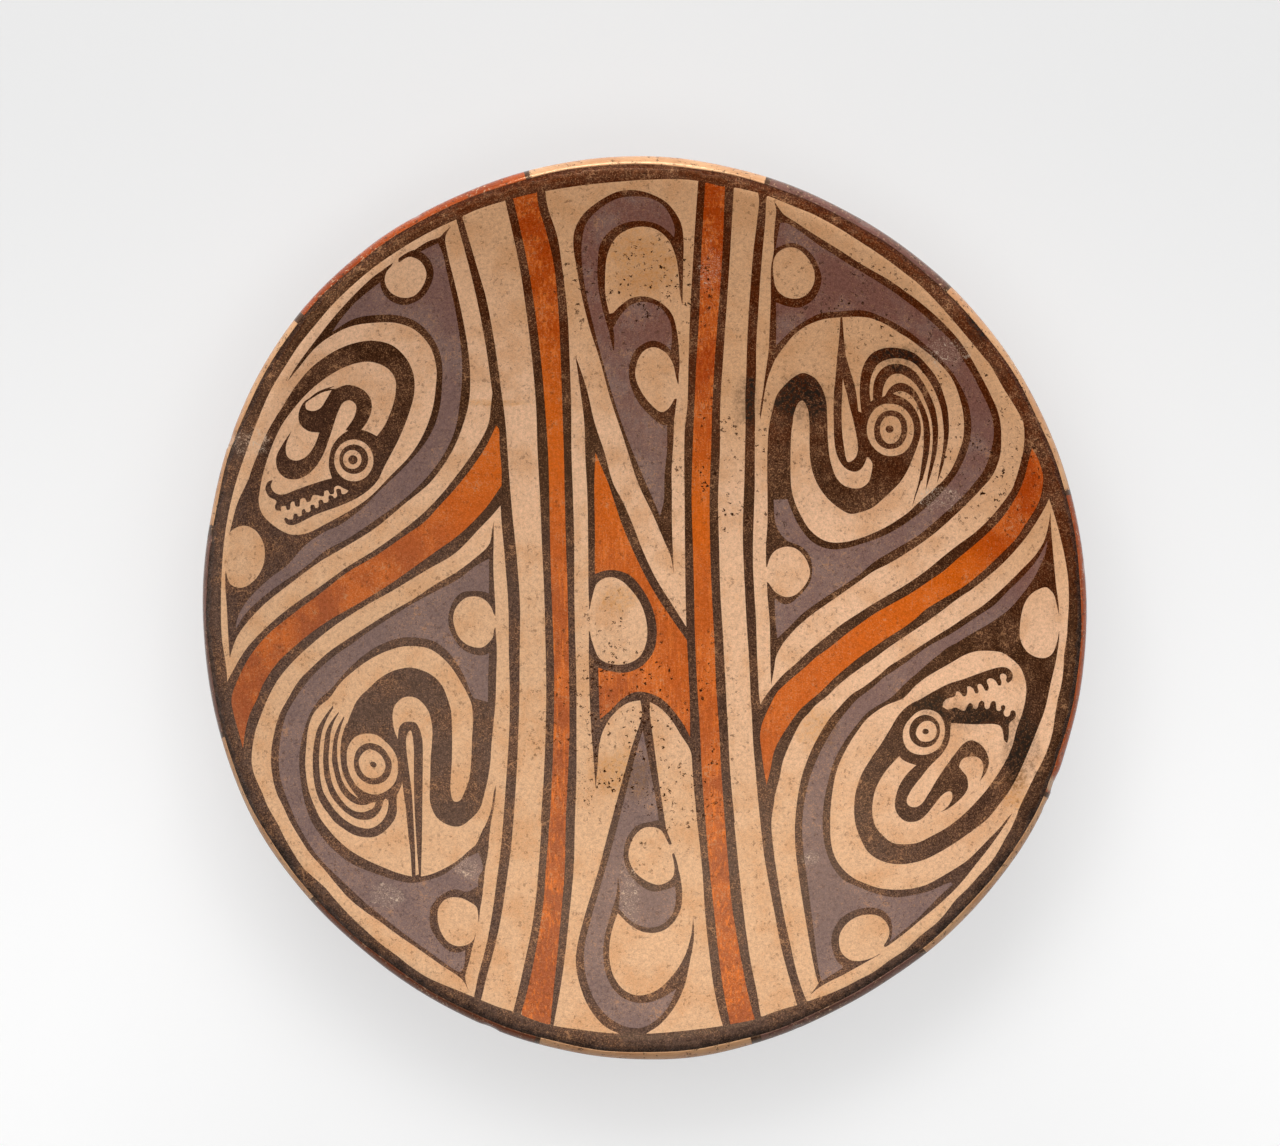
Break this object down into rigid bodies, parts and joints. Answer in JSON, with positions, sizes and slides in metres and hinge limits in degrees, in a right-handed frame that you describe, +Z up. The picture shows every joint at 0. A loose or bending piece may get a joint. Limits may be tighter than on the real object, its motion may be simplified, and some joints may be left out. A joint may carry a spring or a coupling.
{
  "type": "pottery plate",
  "caption": "Shallow round hand-built clay plate on a low foot ring, with a thick rolled lip and a slip-painted face, for serving or display.",
  "frame": {"origin": "middle of the foot ring, on the surface that the plate stands on", "axes": "+Z up, out of the painted face; +Y towards the top of the painted pattern as pictured; +X to its right"},
  "size_m": [0.2868, 0.2932, 0.0532],
  "materials": {
    "painted_slip": "burnished cream slip painted in black, orange red and purple",
    "painted_lip": "burnished slip in panels of orange red, purple and cream",
    "plain_slip": "thin wiped slip over fired clay, matte"
  },
  "bodies": {
    "root": {"base_slab": "painted_slip", "wall_coil_lower": "painted_slip", "wall_coil_middle": "painted_slip", "wall_coil_upper": "painted_slip", "lip_coil": "painted_lip", "foot_ring": "plain_slip"}
  },
  "joints": []
}
